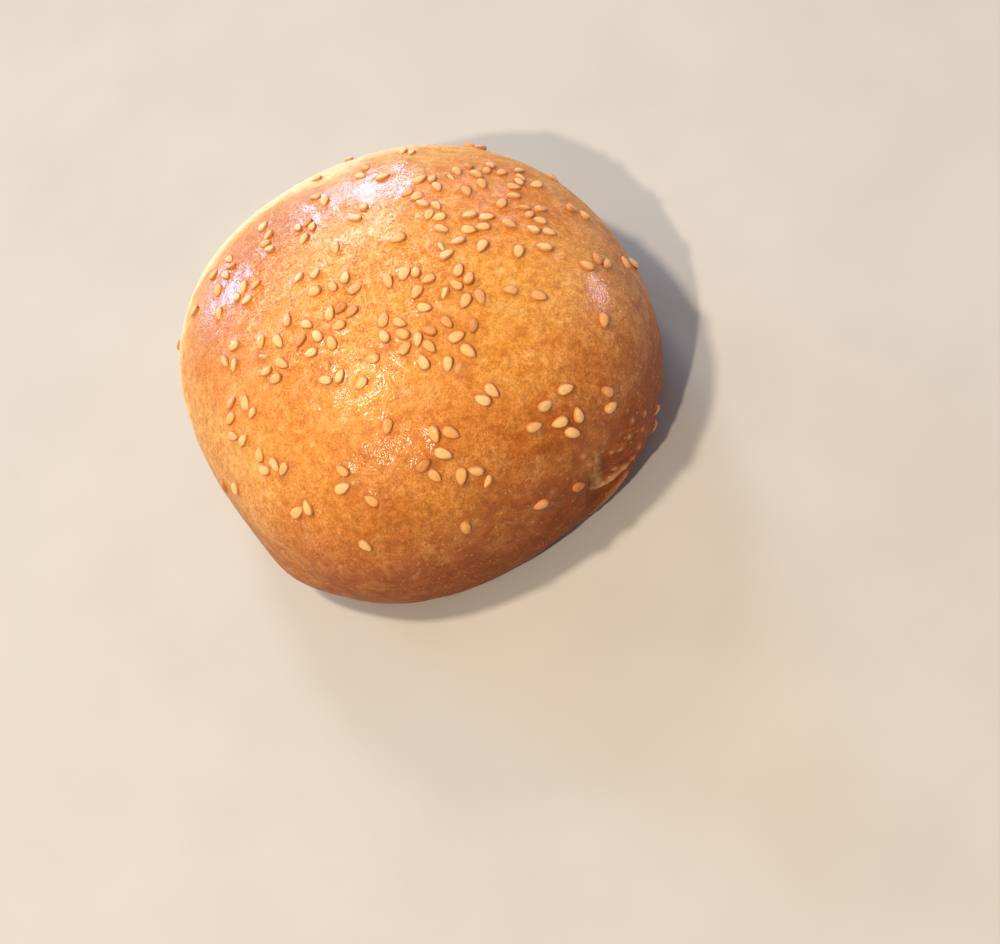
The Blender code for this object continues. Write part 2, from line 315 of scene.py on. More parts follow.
# Colours, as linear red, green, blue and alpha
GOLDEN = (0.72, 0.320, 0.042, 1.0)
AMBER = (0.67, 0.232, 0.025, 1.0)
EMBER = (0.60, 0.160, 0.016, 1.0)
HONEY = (0.76, 0.43, 0.125, 1.0)
RUSSET = (0.42, 0.11, 0.016, 1.0)
BROWN = (0.32, 0.070, 0.008, 1.0)
# painted shade: deepest brown low at the foot of the near side
FOOT_SHADE_BROWN = (0.20, 0.042, 0.006, 1.0)
CREAM = (0.82, 0.52, 0.26, 1.0)
BISCUIT = (0.65, 0.29, 0.10, 1.0)
BASE_BROWN = (0.42, 0.19, 0.06, 1.0)
BASE_DARK = (0.26, 0.10, 0.03, 1.0)
TAN = (0.86, 0.52, 0.27, 1.0)
SPECK = (0.74, 0.44, 0.20, 1.0)
SKIN = (0.95, 0.51, 0.22, 1.0)
CREST = (0.76, 0.41, 0.20, 1.0)
SHADE = (0.24, 0.13, 0.06, 1.0)
# painted shade in the pit
PIT_SHADE = (0.10, 0.030, 0.010, 1.0)
SEED_PALE = (0.86, 0.505, 0.21, 1.0)
SEED_GOLD = (0.78, 0.375, 0.12, 1.0)
SEED_BROWN = (0.52, 0.19, 0.05, 1.0)
SEED_GLAZED = (0.76, 0.335, 0.09, 1.0)
# the seed's darker edge with painted contact shade
SEED_RIM_AND_SHADE = (0.42, 0.13, 0.025, 1.0)
FLOOR_LIGHT = (0.50, 0.47, 0.43, 1.0)
FLOOR_SHADE = (0.48, 0.45, 0.41, 1.0)

# Noise of the crust's looks: width of its features in mm, detail, roughness and distortion
PATCHES = (16.0, 3.0)
BLOTCH = (4.5, 3.0, 0.6, 0.8)
MOTTLE = (1.6, 1.5)
GRAIN = (0.42, 1.0, 0.6)
GLINTS = (9.0, 2.0)
GLINT_BREAKS = (2.6, 1.0)
GLOSS_PATCHES = (7.0, 2.0)
SOFT_LUMPS = (3.0, 1.0)
PIMPLES = (0.8, 0.0)
PORES = (0.42, 0.0)

# Winding lines: wave in mm and shift of the pattern; then the wave of the pale dots
COARSE_LINES = (1.7, 0.0)
CLOSE_LINES = (0.85, 0.0)
CURLS = (1.05, 4.0)
RIDGE_DISTORTION = 0.6
DOT_WAVE = 1.5

# Tints that follow a pattern: where each sets in and is full, its strength and its colour
PATCH_TINTS = ((0.35, 0.68, 1.0, AMBER),)
BLOTCH_TINTS = ((0.45, 0.70, 0.5, HONEY), (0.48, 0.30, 0.3, RUSSET))
MOTTLE_TINTS = ((0.50, 0.25, 0.4, RUSSET), (0.52, 0.75, 0.3, TAN))
# the second tint is painted shade at the foot
BROWN_TINTS = ((0.15, 1.02, 1.0, BROWN), (0.77, 1.17, 0.6, FOOT_SHADE_BROWN))
BAKED_TINTS = ((0.4, 0.7, 0.4, GOLDEN),)
UNDER_TINTS = ((0.4, 0.65, 1.0, BASE_DARK),)
SHADE_TINTS = ((0.0, 0.6, 1.0, SEED_GOLD), (0.6, 1.0, 1.0, SEED_BROWN))
STREAK_TINTS = ((0.52, 0.30, 0.5, SEED_GLAZED),)
FLOOR_TINTS = ((0.3, 0.7, 1.0, FLOOR_SHADE),)

# Tints that follow a mask of the mesh: its name, the tint's strength and its colour
WASH_TINTS = (("ember", 0.95, EMBER), ("honey", 0.35, HONEY), ("band", 0.6, RUSSET))
# painted shade: contact shade round the seeds and shade in the hollow
PAINTED_SHADE_TINTS = (("seed_contact_shade", 0.42, RUSSET), ("shade", 0.25, SHADE))
# painted highlight on the crests and painted shade in the pit
HOLLOW_TINTS = (("crest", 0.6, CREST), ("pit_shade", 0.85, PIT_SHADE))
SEED_TINTS = (("glaze", 0.55, SEED_GLAZED), ("tip", 0.35, SEED_BROWN), ("rim", 0.65, SEED_RIM_AND_SHADE))

# Ramps of the crust's colour: where each starts and ends, and what it gives there if not 0 and 1
UNEVEN_RAMP = (0.3, 0.7, 0.15, -0.15)
BISCUIT_RAMP = (0.3, 0.7, 0.7, 1.0)
PALE_RAMP = (0.1, 0.9)
# painted shade in the creases of the close lines
CREASE_SHADE_RAMP = (0.10, 0.0, 0.0, 0.40)
SKIN_RAMP = (0.3, 0.7, 0.35, 1.0)
PATCH_BROWNING = 0.25
PALE_MOTTLE = 0.3

# Ramps of the crust's brightness: curls as painted glints, the last two where it browns, the first painted
# crease shade
MOTTLE_VALUE = (0.3, 0.7, 0.91, 1.02)
CURL_GLINT_VALUE = (0.06, 0.0, 0.0, 0.14)
GRAIN_VALUE = (0.3, 0.7, -0.07, 0.07)
CREASE_SHADE_VALUE = (0.0, 0.10, -0.26, 0.08)
MOTTLE_ROUGH = (0.3, 0.7, -0.1, 0.1)

# Ramps of the painted glints in the curls, of the dark beside them, of painted glint specks in the grain and
# of pale dots
GLINT_RAMP = (0.48, 0.62)
GLINT_SHARE = 0.28
GLINT_BREAK = (0.4, 0.6, 0.4, 1.0)
BESIDE_INNER = (0.06, 0.09)
BESIDE_OUTER = (0.15, 0.10)
BESIDE_SHARE = 0.4
GLINT_LINE_RAMP = (0.06, 0.0, 0.0, 0.8)
GLINT_LINE_BROWN = (0.5, 1.0, 1.0, 0.35)
GRAIN_GLINT_RAMP = (0.42, 0.75, 0.0, 0.12)
DOT_RAMP = (0.22, 0.06)
DOT_BROWN = (0.3, 0.8, 0.1, 0.42)

# Ramps of the crust's roughness and gloss, then of its lines' bump, and the depth of each bump in mm
BARE_RAMP = (0.2, 0.8)
GRAIN_ROUGHNESS = 0.3
ROUGHNESS = (0.0, 1.3, 0.45, 0.8)
GLOSS_RAMP = (0.3, 0.7, 0.19, 0.36)
LINE_BUMP = (0.0, 0.16)
LUMP_DEPTH = 0.05
LINE_DEPTH = 0.006
PIMPLE_DEPTH = 0.028
PORE_DEPTH = 0.045
DOT_DEPTH = 0.04

# Sesame: noise and ramps as for the crust, and the depth of each bump in mm
SEED_MOTTLE = (0.6, 3.0, 0.65)
SEED_STREAKS = (0.45, 2.0, 0.6)
SHADE_MOTTLE = 0.4
SEED_ROUGHNESS = (0.2, 0.8, 0.5, 0.7)
SEED_COAT = (0.0, 0.8, 0.0, 0.3)
STREAK_DEPTH = 0.12
SEED_MOTTLE_DEPTH = 0.04

# Floor: half its width in metres, its noise and its roughness
FLOOR_REACH = 3.0
FLOOR_NOISE = (30.0, 3.0)
FLOOR_ROUGHNESS = (0.3, 0.7, 0.8, 0.9)

# Softboxes: name, degrees round from +X, degrees up, distance, width and height in metres, brightness and
# colour; then the point in metres that they face, and the light from all round
WARM = (1.0, 0.86, 0.68)
MILD = (1.0, 0.94, 0.88)
COOL = (0.28, 0.60, 1.0)
MAUVE = (0.70, 0.61, 1.0)
SOFTBOXES = (
    ("key", 161.0, 73.0, 0.9, 0.08, 0.08, 0.73, WARM),
    ("near_fill", 228.0, 53.0, 0.9, 0.036, 0.036, 0.61, WARM),
    ("far_fill", 84.0, 36.0, 0.9, 0.16, 0.10, 0.22, MILD),
    ("window_left", 116.0, 9.5, 2.8, 0.78, 0.60, 0.74, COOL),
    ("window_far", 81.0, 11.5, 2.8, 0.74, 0.50, 0.62, COOL),
    ("window_right", 50.0, 16.0, 2.8, 0.80, 0.32, 0.10, MAUVE),
    ("right_sheen", 5.0, 8.0, 2.8, 0.80, 0.32, 0.28, MAUVE),
)
AIM = Vector((0.0, 0.0, 0.02))
WORLD_COLOR = (1.0, 0.94, 0.86, 1.0)
WORLD_STRENGTH = 0.27

# Camera: place in mm, its backward and upward directions, its lens in mm, and its limits in metres
CAMERA_PLACE = (2.06, -259.53, 356.99)
CAMERA_BACK = (0.0, -0.556, 0.831)
CAMERA_UP = (0.532, 0.704, 0.471)
CAMERA_LENS = 80.6
CAMERA_SENSOR = 36.0
CAMERA_CLIP = (0.01, 10.0)


def smooth_step(low, high, value):
    """Rise smoothly from 0 at low to 1 at high."""
    share = min(max((value - low) / (high - low), 0.0), 1.0)
    return share * share * (3.0 - 2.0 * share)


def smooth_steps(low, high, values):
    """The same for an array."""
    share = np.clip((values - low) / (high - low), 0.0, 1.0)
    return share * share * (3.0 - 2.0 * share)


def turn_between(angle, middle):
    """Signed degrees from middle to angle, between -180 and 180."""
    return (angle - middle + 180.0) % 360.0 - 180.0


def plan_factor(azimuth):
    """Share of the mean radius that the plan outline has at an azimuth in radians."""
    share = 1.0
    for waves, cosine, sine in PLAN_WAVES:
        share += cosine * math.cos(waves * azimuth) + sine * math.sin(waves * azimuth)
    return share


def profile_reach(azimuth, elevation):
    """Distance in mm from the waist's centre to the plain dome, its underside and its base."""
    radius = BUN_RADIUS * plan_factor(azimuth)
    if elevation >= 0.0:
        height, power = BUN_HEIGHT - WAIST_HEIGHT, CROWN_EXPONENT
    else:
        height, power = UNDER_DEPTH, UNDER_EXPONENT
    across = abs(math.cos(elevation)) / radius
    upright = abs(math.sin(elevation)) / height
    reach = (across ** power + upright ** power) ** (-1.0 / power)
    if elevation >= 0.0:
        return reach
    to_base = (WAIST_HEIGHT + BASE_PRESS) / max(-math.sin(elevation), LEAST_SLOPE)
    return (reach ** -BASE_CORNER_POWER + to_base ** -BASE_CORNER_POWER) ** (-1.0 / BASE_CORNER_POWER)


def swell_height(direction):
    """Height in mm of the low swells, which die away towards the base."""
    height = 0.0
    for size, waves in SWELLS:
        height += size * math.sin(direction.dot(Vector(waves)) + size)
    return height * smooth_step(*SWELL_FADE, direction.z)


def pinch_relief(azimuth, elevation):
    """Depth in mm of the pinched hollow, less the lobe that swells beside it; angles in degrees."""
    drop = (PINCH_TOP - elevation) / PINCH_SPAN
    middle = PINCH_TURN + PINCH_LEAN * (drop - 0.5)
    across = turn_between(azimuth, middle) * ARC_PER_DEGREE
    width = PINCH_WIDTH * (PINCH_NARROW + (1.0 - PINCH_NARROW) * smooth_step(0.0, PINCH_WIDEN, drop))
    fade = smooth_step(*PINCH_COME, drop) * (1.0 - smooth_step(*PINCH_GO, drop))
    hollow = PINCH_DEPTH * math.exp(-(across / width) ** 2)
    lobe = PINCH_LOBE * math.exp(-((across - PINCH_LOBE_AT) / PINCH_WIDTH) ** 2)
    return fade * (hollow - lobe)


def lobe_height(azimuth, elevation):
    """Height in mm of the small lobes; angles in degrees."""
    height = 0.0
    for turn, drop, size, reach in LOBES:
        across = turn_between(azimuth, turn) * ARC_PER_DEGREE
        down = (90.0 - elevation - drop) * ARC_PER_DEGREE
        height += size * math.exp(-(across * across + down * down) / (reach * reach))
    return height


def curl_lift(point):
    """Height in mm that the base edge is curled up by at a point of the plain form."""
    azimuth = math.degrees(math.atan2(point.y, point.x))
    share = smooth_step(CURL_REACH, 0.0, abs(turn_between(azimuth, CURL_TURN)))
    outward = smooth_step(CURL_INNER, CURL_OUTER, math.hypot(point.x, point.y))
    fade = max(0.0, 1.0 - point.z / CURL_FADE) ** 2
    return CURL_LIFT * share * outward * fade


def plain_point(direction):
    """Point in mm where a ray leaves the bun, before the base is flattened and shifted."""
    ray = direction.normalized()
    azimuth = math.atan2(ray.y, ray.x)
    elevation = math.asin(max(-1.0, min(1.0, ray.z)))
    reach = profile_reach(azimuth, elevation) + swell_height(ray)
    reach += lobe_height(math.degrees(azimuth), math.degrees(elevation))
    reach -= pinch_relief(math.degrees(azimuth), math.degrees(elevation))
    return ray * reach + Vector((0.0, 0.0, WAIST_HEIGHT))


def settle(point):
    """Flatten a plain point to the base, curl the edge up and shift the plan."""
    point.z = max(point.z, 0.0) + curl_lift(point)
    return point + Vector((*PLAN_SHIFT, 0.0))


def surface_point(direction):
    """Point in mm where a ray from the waist's centre leaves the bun."""
    return settle(plain_point(direction))


def tangents(direction):
    """Two directions square to a ray and to each other: round the bun, and down its side."""
    side = Vector((0.0, 0.0, 1.0)).cross(direction)
    side = side.normalized() if side.length > 1e-6 else Vector((0.0, 1.0, 0.0))
    return side, side.cross(direction).normalized()


def surface_normal(direction):
    """Outward normal of the bun where a ray leaves it."""
    side, down = (across * NORMAL_STEP for across in tangents(direction))
    across = surface_point(direction + side) - surface_point(direction - side)
    along = surface_point(direction + down) - surface_point(direction - down)
    return along.cross(across).normalized()


def ray_at(azimuth, drop):
    """Ray at degrees round from +X and degrees down from the top."""
    flat = math.sin(math.radians(drop))
    turn = math.radians(azimuth)
    return Vector((flat * math.cos(turn), flat * math.sin(turn), math.cos(math.radians(drop))))


def draw_seed(draw, azimuth, drop, reach):
    """Draw one seed's place and pose in mm: its matrix, its size and its two rounds for spacing."""
    ray = ray_at(azimuth, drop)
    side, down = tangents(ray)
    away = reach * math.sqrt(draw.random())
    turn = draw.uniform(0.0, 2.0 * math.pi)
    offset = side * (away * math.cos(turn)) + down * (away * math.sin(turn))
    ray = (ray + offset / BUN_RADIUS).normalized()
    heading = draw.uniform(0.0, 2.0 * math.pi)
    pitch = math.radians(draw.gauss(0.0, SEED_TILT))
    roll = math.radians(draw.gauss(0.0, SEED_ROLL))
    size = 1.0 - SEED_NEAR_GAIN * ray.y + SEED_SIZE_SPREAD * draw.uniform(-1.0, 1.0)
    on_edge = draw.random() < SEED_ON_EDGE
    rise = SEED_RISE
    if on_edge:
        roll += math.radians(EDGE_ROLL)
        rise = EDGE_RISE
    normal = surface_normal(ray)
    side, down = tangents(normal)
    along = side * math.cos(heading) + down * math.sin(heading)
    pose = Matrix((along, normal.cross(along), normal)).transposed().to_4x4()
    pose = pose @ Matrix.Rotation(pitch, 4, "Y") @ Matrix.Rotation(roll, 4, "X")
    centre = surface_point(ray) + normal * rise
    pose = Matrix.Translation(centre) @ pose
    blunt = centre + along * (BLUNT_AT * SEED_LENGTH * size)
    tip = centre + along * (TIP_AT * SEED_LENGTH * size)
    rounds = ((blunt, BLUNT_REACH * SEED_WIDTH * size), (tip, TIP_REACH * SEED_WIDTH * size))
    return pose, size, rounds


def is_clear(rounds, placed):
    """Whether a seed's rounds keep the gap to those of every seed placed before."""
    for _, _, others in placed:
        for centre, radius in rounds:
            for other, other_radius in others:
                if (centre - other).length < radius + other_radius + SEED_GAP:
                    return False
    return True


def scatter_seeds():
    """Draw the seeds group by group, each clear of the others."""
    draw = random.Random(SEED_DRAW)
    placed = []
    for azimuth, drop, reach, count in SEED_GROUPS:
        for _ in range(count):
            for _ in range(SEED_TRIES):
                seed = draw_seed(draw, azimuth, drop, reach)
                if is_clear(seed[2], placed):
                    placed.append(seed)
                    break
    return placed


def spread(count, low, high, focus, width, gain):
    """Positions from low to high, count + 1 of them, closer together about the focus."""
    fine = np.linspace(low, high, SPREAD_SAMPLES)
    density = 1.0 + gain * np.exp(-((fine - focus) / width) ** 2)
    total = np.concatenate(([0.0], np.cumsum((density[1:] + density[:-1]) / 2.0)))
    return np.interp(np.linspace(0.0, total[-1], count + 1), total, fine)


def disc_grid(cells):
    """A square grid laid over a disc: share of the radius and of the turn of its points, quads and rim."""
    steps = np.linspace(-1.0, 1.0, cells + 1)
    across, up = (values.ravel() for values in np.meshgrid(steps, steps))
    share = np.maximum(np.abs(across), np.abs(up))
    scale = np.where(share > 0.0, share, 1.0)
    across, up = across / scale, up / scale
    east = (across > up) & (across >= -up)
    north = (up >= across) & (up > -across)
    west = (across < up) & (across <= -up)
    eighths = np.select((east, north, west), (up, 2.0 - across, 4.0 - up), 6.0 + across)
    turn = (eighths % 8.0) / 8.0
    row = cells + 1
    corner = (np.arange(cells)[:, None] * row + np.arange(cells)[None, :]).ravel()
    quads = np.column_stack((corner, corner + 1, corner + row + 1, corner + row))
    rim = np.flatnonzero(share > 1.0 - 0.5 / cells)
    return share, turn, quads, rim[np.argsort(turn[rim])]


def rim_drop(azimuth):
    """Degrees down from the top at which a ray leaves through the edge of the base."""
    low, high = RIM_SEARCH
    for _ in range(RIM_STEPS):
        middle = (low + high) / 2.0
        if plain_point(ray_at(azimuth, middle)).z > 0.0:
            low = middle
        else:
            high = middle
    return low


def crust_grid():
    """Even closed grid over the bun: points in mm, whether each is of the base, and quads."""
    share, turn, cap_quads, rim = disc_grid(CAP_CELLS)
    start, end = PINCH_TURN - 180.0, PINCH_TURN + 180.0
    turns = spread(AROUND, start, end, PINCH_TURN, TURN_FOCUS_WIDTH, TURN_FOCUS_GAIN)
    azimuths = np.interp(turn, np.arange(AROUND + 1) / AROUND, turns)
    points = [surface_point(ray_at(azimuth, drop)) for azimuth, drop in zip(azimuths, share * CAP_DROP)]
    lowest = [rim_drop(azimuth) for azimuth in turns[:-1]]
    rows = spread(SIDE_ROWS, 0.0, 1.0, ROW_FOCUS, ROW_FOCUS_WIDTH, ROW_FOCUS_GAIN)[1:]
    quads = [cap_quads]
    ring = rim
    for row in rows:
        lower = len(points) + np.arange(AROUND)
        for azimuth, end in zip(turns[:-1], lowest):
            points.append(surface_point(ray_at(azimuth, CAP_DROP + (end - CAP_DROP) * row)))
        quads.append(np.column_stack((ring, lower, np.roll(lower, -1), np.roll(ring, -1))))
        ring = lower
    edge = [plain_point(ray_at(azimuth, end)) for azimuth, end in zip(turns, lowest + lowest[:1])]
    stops = np.arange(AROUND + 1) / AROUND
    across = share * np.interp(turn, stops, [point.x for point in edge])
    up = share * np.interp(turn, stops, [point.y for point in edge])
    inside = np.ones(len(share), bool)
    inside[rim] = False
    index = np.empty(len(share), int)
    index[rim] = ring
    index[inside] = len(points) + np.arange(inside.sum())
    sides = len(points)
    points += [settle(Vector((x, y, 0.0))) for x, y in zip(across[inside], up[inside])]
    quads.append(index[cap_quads][:, ::-1])
    return np.array(points), np.arange(len(points)) >= sides, np.concatenate(quads)


def noise_field(points, wave, pattern, octaves=1):
    """Smooth noise between about -1 and 1 at points in mm, with features about one wave across."""
    values = np.zeros(len(points))
    weight, total = 1.0, 0.0
    for octave in range(octaves):
        shift = Vector(NOISE_SHIFT) * (pattern + OCTAVE_STEP * octave)
        scale = 2.0 ** octave / wave
        values += weight * np.array([noise.noise(Vector(point) * scale + shift) for point in points])
        total += weight
        weight *= 0.5
    return values / total


def polar_angles(points):
    """Degrees round from +X and degrees down from the top, seen from the waist's centre."""
    away = points - np.array((*PLAN_SHIFT, WAIST_HEIGHT))
    azimuth = np.degrees(np.arctan2(away[:, 1], away[:, 0])) % 360.0
    drop = np.degrees(np.arctan2(np.hypot(away[:, 0], away[:, 1]), away[:, 2]))
    return azimuth, drop


def normals_of(points, quads):
    """Outward normal at each point of a closed grid."""
    corners = points[quads]
    faces = np.cross(corners[:, 2] - corners[:, 0], corners[:, 3] - corners[:, 1])
    normals = np.zeros_like(points)
    for corner in range(4):
        np.add.at(normals, quads[:, corner], faces)
    return normals / np.linalg.norm(normals, axis=1, keepdims=True)


def seed_distance(points, seeds):
    """Distance in mm from each point to the outline of the nearest seed, negative under it."""
    nearest = np.full(len(points), np.inf)
    for pose, size, _ in seeds:
        centre = np.array(pose.translation)
        near = np.flatnonzero(((points - centre) ** 2).sum(axis=1) < SEED_LENGTH ** 2)
        local = (points[near] - centre) @ np.array(pose.to_3x3())
        along = local[:, 0] / (0.5 * SEED_LENGTH * size)
        girth = 1.0 - SEED_TAPER * np.clip(along, -1.0, 1.0)
        across = local[:, 1] / (0.5 * SEED_WIDTH * size * girth)
        ring = np.hypot(along, across)
        reach = np.hypot(local[:, 0], local[:, 1])
        nearest[near] = np.minimum(nearest[near], reach * (1.0 - 1.0 / np.maximum(ring, LEAST_RING)))
    return nearest


def line_distance(across, down, line):
    """Distance from points to a line of straight stretches, all in mm across and down."""
    nearest = np.full(len(across), np.inf)
    for (x0, y0), (x1, y1) in zip(line, line[1:]):
        step_x, step_y = x1 - x0, y1 - y0
        share = ((across - x0) * step_x + (down - y0) * step_y) / (step_x ** 2 + step_y ** 2)
        share = np.clip(share, 0.0, 1.0)
        nearest = np.minimum(nearest, np.hypot(across - x0 - share * step_x, down - y0 - share * step_y))
    return nearest


def line_share(across, down, line, reach):
    """Share of 1 on a line, falling to 0 well away from it."""
    return np.exp(-(line_distance(across, down, line) / reach) ** 2)


def spot_share(across, down, spot, reach):
    """Share of 1 at a spot, falling to 0 well away from it."""
    return np.exp(-((across - spot[0]) ** 2 + (down - spot[1]) ** 2) / reach ** 2)


def turn_share(azimuth, middle, reach, power=2):
    """Share of 1 on one side of the bun, falling to 0 well round from it; angles in degrees."""
    return np.exp(-(turn_between(azimuth, middle) / reach) ** power)


def fold_relief(across, down):
    """Height in mm of the folds, creases and blisters that gather in the hollow."""
    height = np.zeros(len(across))
    for lift, width, line in FOLDS:
        height += lift * line_share(across, down, line, width)
    for x, y, reach in FOLD_ENDS:
        height *= 1.0 - spot_share(across, down, (x, y), reach)
    for spot in BLISTERS:
        height += BLISTER_HEIGHT * spot_share(across, down, spot, BLISTER_REACH)
    return height


def crest_share(across, down):
    """Where the ledge under the hollow and the blisters about it catch the light, from 0 to 1."""
    share = np.zeros(len(across))
    for line in CREST_LINES:
        share += line_share(across, down, line, CREST_REACH)
    for spot in BLISTERS:
        share += spot_share(across, down, spot, BLISTER_REACH)
    return np.minimum(share, 1.0)


def patch_share(azimuth, drop, patches):
    """Share from 0 to 1 of a colour that lies in soft patches; angles in degrees."""
    share = np.zeros(len(azimuth))
    for turn, middle, turn_reach, drop_reach, strength in patches:
        from_turn = turn_between(azimuth, turn) / turn_reach
        share += strength * np.exp(-from_turn ** 2 - ((drop - middle) / drop_reach) ** 2)
    return np.minimum(share, 1.0)


def make_mesh(name, points, faces):
    """Make a smooth-shaded object of points in mm."""
    mesh = bpy.data.meshes.new(name)
    mesh.from_pydata((points * MM).tolist(), [], faces)
    mesh.shade_smooth()
    mesh.update()
    thing = bpy.data.objects.new(name, mesh)
    bpy.context.scene.collection.objects.link(thing)
    return thing


def add_mask(thing, name, values):
    """Store one value for each point of a mesh, for its material to read."""
    thing.data.attributes.new(name, "FLOAT", "POINT").data.foreach_set("value", values.astype(np.float32))


def crust_height(points, gap, across, down):
    """Height in mm of the crust's relief over the plain form of its side and crown."""
    height = sum(size * noise_field(points, *ripples) for size, ripples in RIPPLES)
    height += MENISCUS_HEIGHT * np.exp(-(np.maximum(gap, 0.0) / MENISCUS_REACH) ** 2)
    height *= smooth_steps(*RELIEF_FADE, points[:, 2])
    return height + fold_relief(across, down) * smooth_steps(*FOLD_FADE, points[:, 2])


def colour_masks(points, azimuth, drop):
    """Shares from 0 to 1, at each point, of what the oven and the egg wash did to the crust and of painted
    glints.
    """
    ragged = RAGGED_REACH * noise_field(points, *RAGGED_NOISE)
    level = drop + ragged
    beyond = turn_share(azimuth, PALE_TURN, PALE_REACH)
    edge = PALE_DROP_FAR + (PALE_DROP_NEAR - PALE_DROP_FAR) * (1.0 - beyond)
    far_left = turn_share(azimuth, CREAM_TURN, CREAM_REACH, power=4)
    near_right = turn_share(azimuth, BROWN_TURN, BROWN_REACH)
    front = turn_share(azimuth, FRONT_TURN, FRONT_REACH)
    browning = (level - BROWN_DROP + FRONT_RAISE * front) / (BROWN_SPAN + FRONT_SPAN * front)
    away = points - np.array((*PLAN_SHIFT, WAIST_HEIGHT))
    away /= np.linalg.norm(away, axis=1, keepdims=True)
    from_glint_patch = np.degrees(np.arccos(np.clip(away @ np.array(ray_at(*GLINT_PATCH_MIDDLE)), -1.0, 1.0)))
    washed = smooth_steps(edge + WASH_EDGE[0], edge + WASH_EDGE[1], level)
    return {
        "pale": smooth_steps(*PALE_FADE, level - edge) * (PALE_SHARES[0] + PALE_SHARES[1] * far_left),
        "biscuit": smooth_steps(*BISCUIT_FADE, drop + BISCUIT_RAGGED * ragged - edge),
        "honey": patch_share(azimuth, level, HONEY_PATCHES),
        "band": far_left * np.exp(-((level - edge + BAND_ABOVE) / BAND_WIDTH) ** 2),
        "browning": np.clip(browning, 0.0, 1.0) * (BROWN_SHARES[0] + BROWN_SHARES[1] * near_right),
        "ember": patch_share(azimuth, level, EMBER_PATCHES),
        # where glints are painted in the curls, about the crown
        "painted_glint": GLINT_PATCH_SHARES[0] + GLINT_PATCH_SHARES[1] * np.exp(-((from_glint_patch + ragged) / GLINT_PATCH_REACH) ** 4),
        "washed": washed * smooth_steps(*WASH_FOOT, level),
    }


def build_crust(seeds):
    """The crust: the plain form with its relief, and the masks that its material reads."""
    points, is_base, quads = crust_grid()
    azimuth, drop = polar_angles(points)
    gap = seed_distance(points, seeds)
    across = turn_between(azimuth, PIT_TURN) * ARC_PER_DEGREE
    across += WANDER * noise_field(points, *WANDER_NOISE)
    down = (drop - PIT_DROP) * ARC_PER_DEGREE
    height = crust_height(points, gap, across, down) * ~is_base
    points = points + normals_of(points, quads) * height[:, None]
    points[:, 2] += BASE_DENT * np.maximum(noise_field(points, *DENT_NOISE), 0.0) * is_base
    points[:, 2] = np.maximum(points[:, 2], 0.0)
    crust = make_mesh("bun_crust", points, quads.tolist())
    masks = {
        **colour_masks(points, azimuth, drop),
        **{name: line_share(across, down, line, reach) for name, reach, line in COLOUR_LINES},
        "crest": crest_share(across, down),
        "underside": np.where(is_base, 1.0, smooth_steps(*UNDERSIDE_FADE, points[:, 2])),
        # painted contact shade round each seed
        "seed_contact_shade": np.exp(-(np.maximum(gap, 0.0) / SEED_SHADE_REACH) ** 2),
    }
    for name, values in masks.items():
        add_mask(crust, name, values)
    return crust


def seed_template():
    """Unit seed: points with x lengthwise, y across and z upright, all within -1 to 1, and its faces."""
    lengthwise = np.cos(np.linspace(0.0, math.pi, SEED_RINGS + 1)[1:-1])
    turns = np.arange(SEED_SIDES) * (2.0 * math.pi / SEED_SIDES)
    along, turn = (values.ravel() for values in np.meshgrid(lengthwise, turns, indexing="ij"))
    radius = np.sqrt(1.0 - along ** 2)
    across = radius * np.sign(np.cos(turn)) * np.abs(np.cos(turn)) ** ACROSS_POWER
    upright = radius ** FLANK_POWER * np.sign(np.sin(turn)) * np.abs(np.sin(turn)) ** UPRIGHT_POWER
    points = np.column_stack((along, across, upright))
    points = np.vstack((points, ((1.0, 0.0, 0.0), (-1.0, 0.0, 0.0))))
    tip, blunt = len(points) - 2, len(points) - 1
    faces = []
    for ring in range(SEED_RINGS - 2):
        for side in range(SEED_SIDES):
            following = (side + 1) % SEED_SIDES
            first, second = ring * SEED_SIDES, (ring + 1) * SEED_SIDES
            faces.append((first + side, second + side, second + following, first + following))
    last = (SEED_RINGS - 2) * SEED_SIDES
    for side in range(SEED_SIDES):
        following = (side + 1) % SEED_SIDES
        faces.append((tip, side, following))
        faces.append((blunt, last + following, last + side))
    return points, faces


def seed_form(unit, draw):
    """One seed's own shape in units of its half sizes: pointed, rimmed and a little bent."""
    along, across, upright = unit.T
    pinch = TIP_PINCH * smooth_steps(TIP_PINCH_FROM, 1.0, along)
    girth = (1.0 - SEED_TAPER * along) * (1.0 - pinch)
    rim = SEED_RIM * np.exp(-((np.abs(across) - SEED_RIM_AT) / SEED_RIM_WIDTH) ** 2)
    ridge = draw.uniform(0.0, SEED_RIDGE) * np.exp(-(across / SEED_RIDGE_WIDTH) ** 2) * (1.0 - along ** 2)
    lift = np.where(upright > 0.0, rim + ridge, 0.0)
    bend = draw.uniform(-SEED_BEND, SEED_BEND)
    cup = draw.uniform(-SEED_CUP, SEED_CUP)
    return np.column_stack((
        along * (1.0 + TIP_STRETCH * smooth_steps(TIP_STRETCH_FROM, 1.0, along)),
        across * girth + bend * (along ** 2 - SEED_BEND_AT),
        (upright + lift) * girth + cup * along ** 2,
    ))


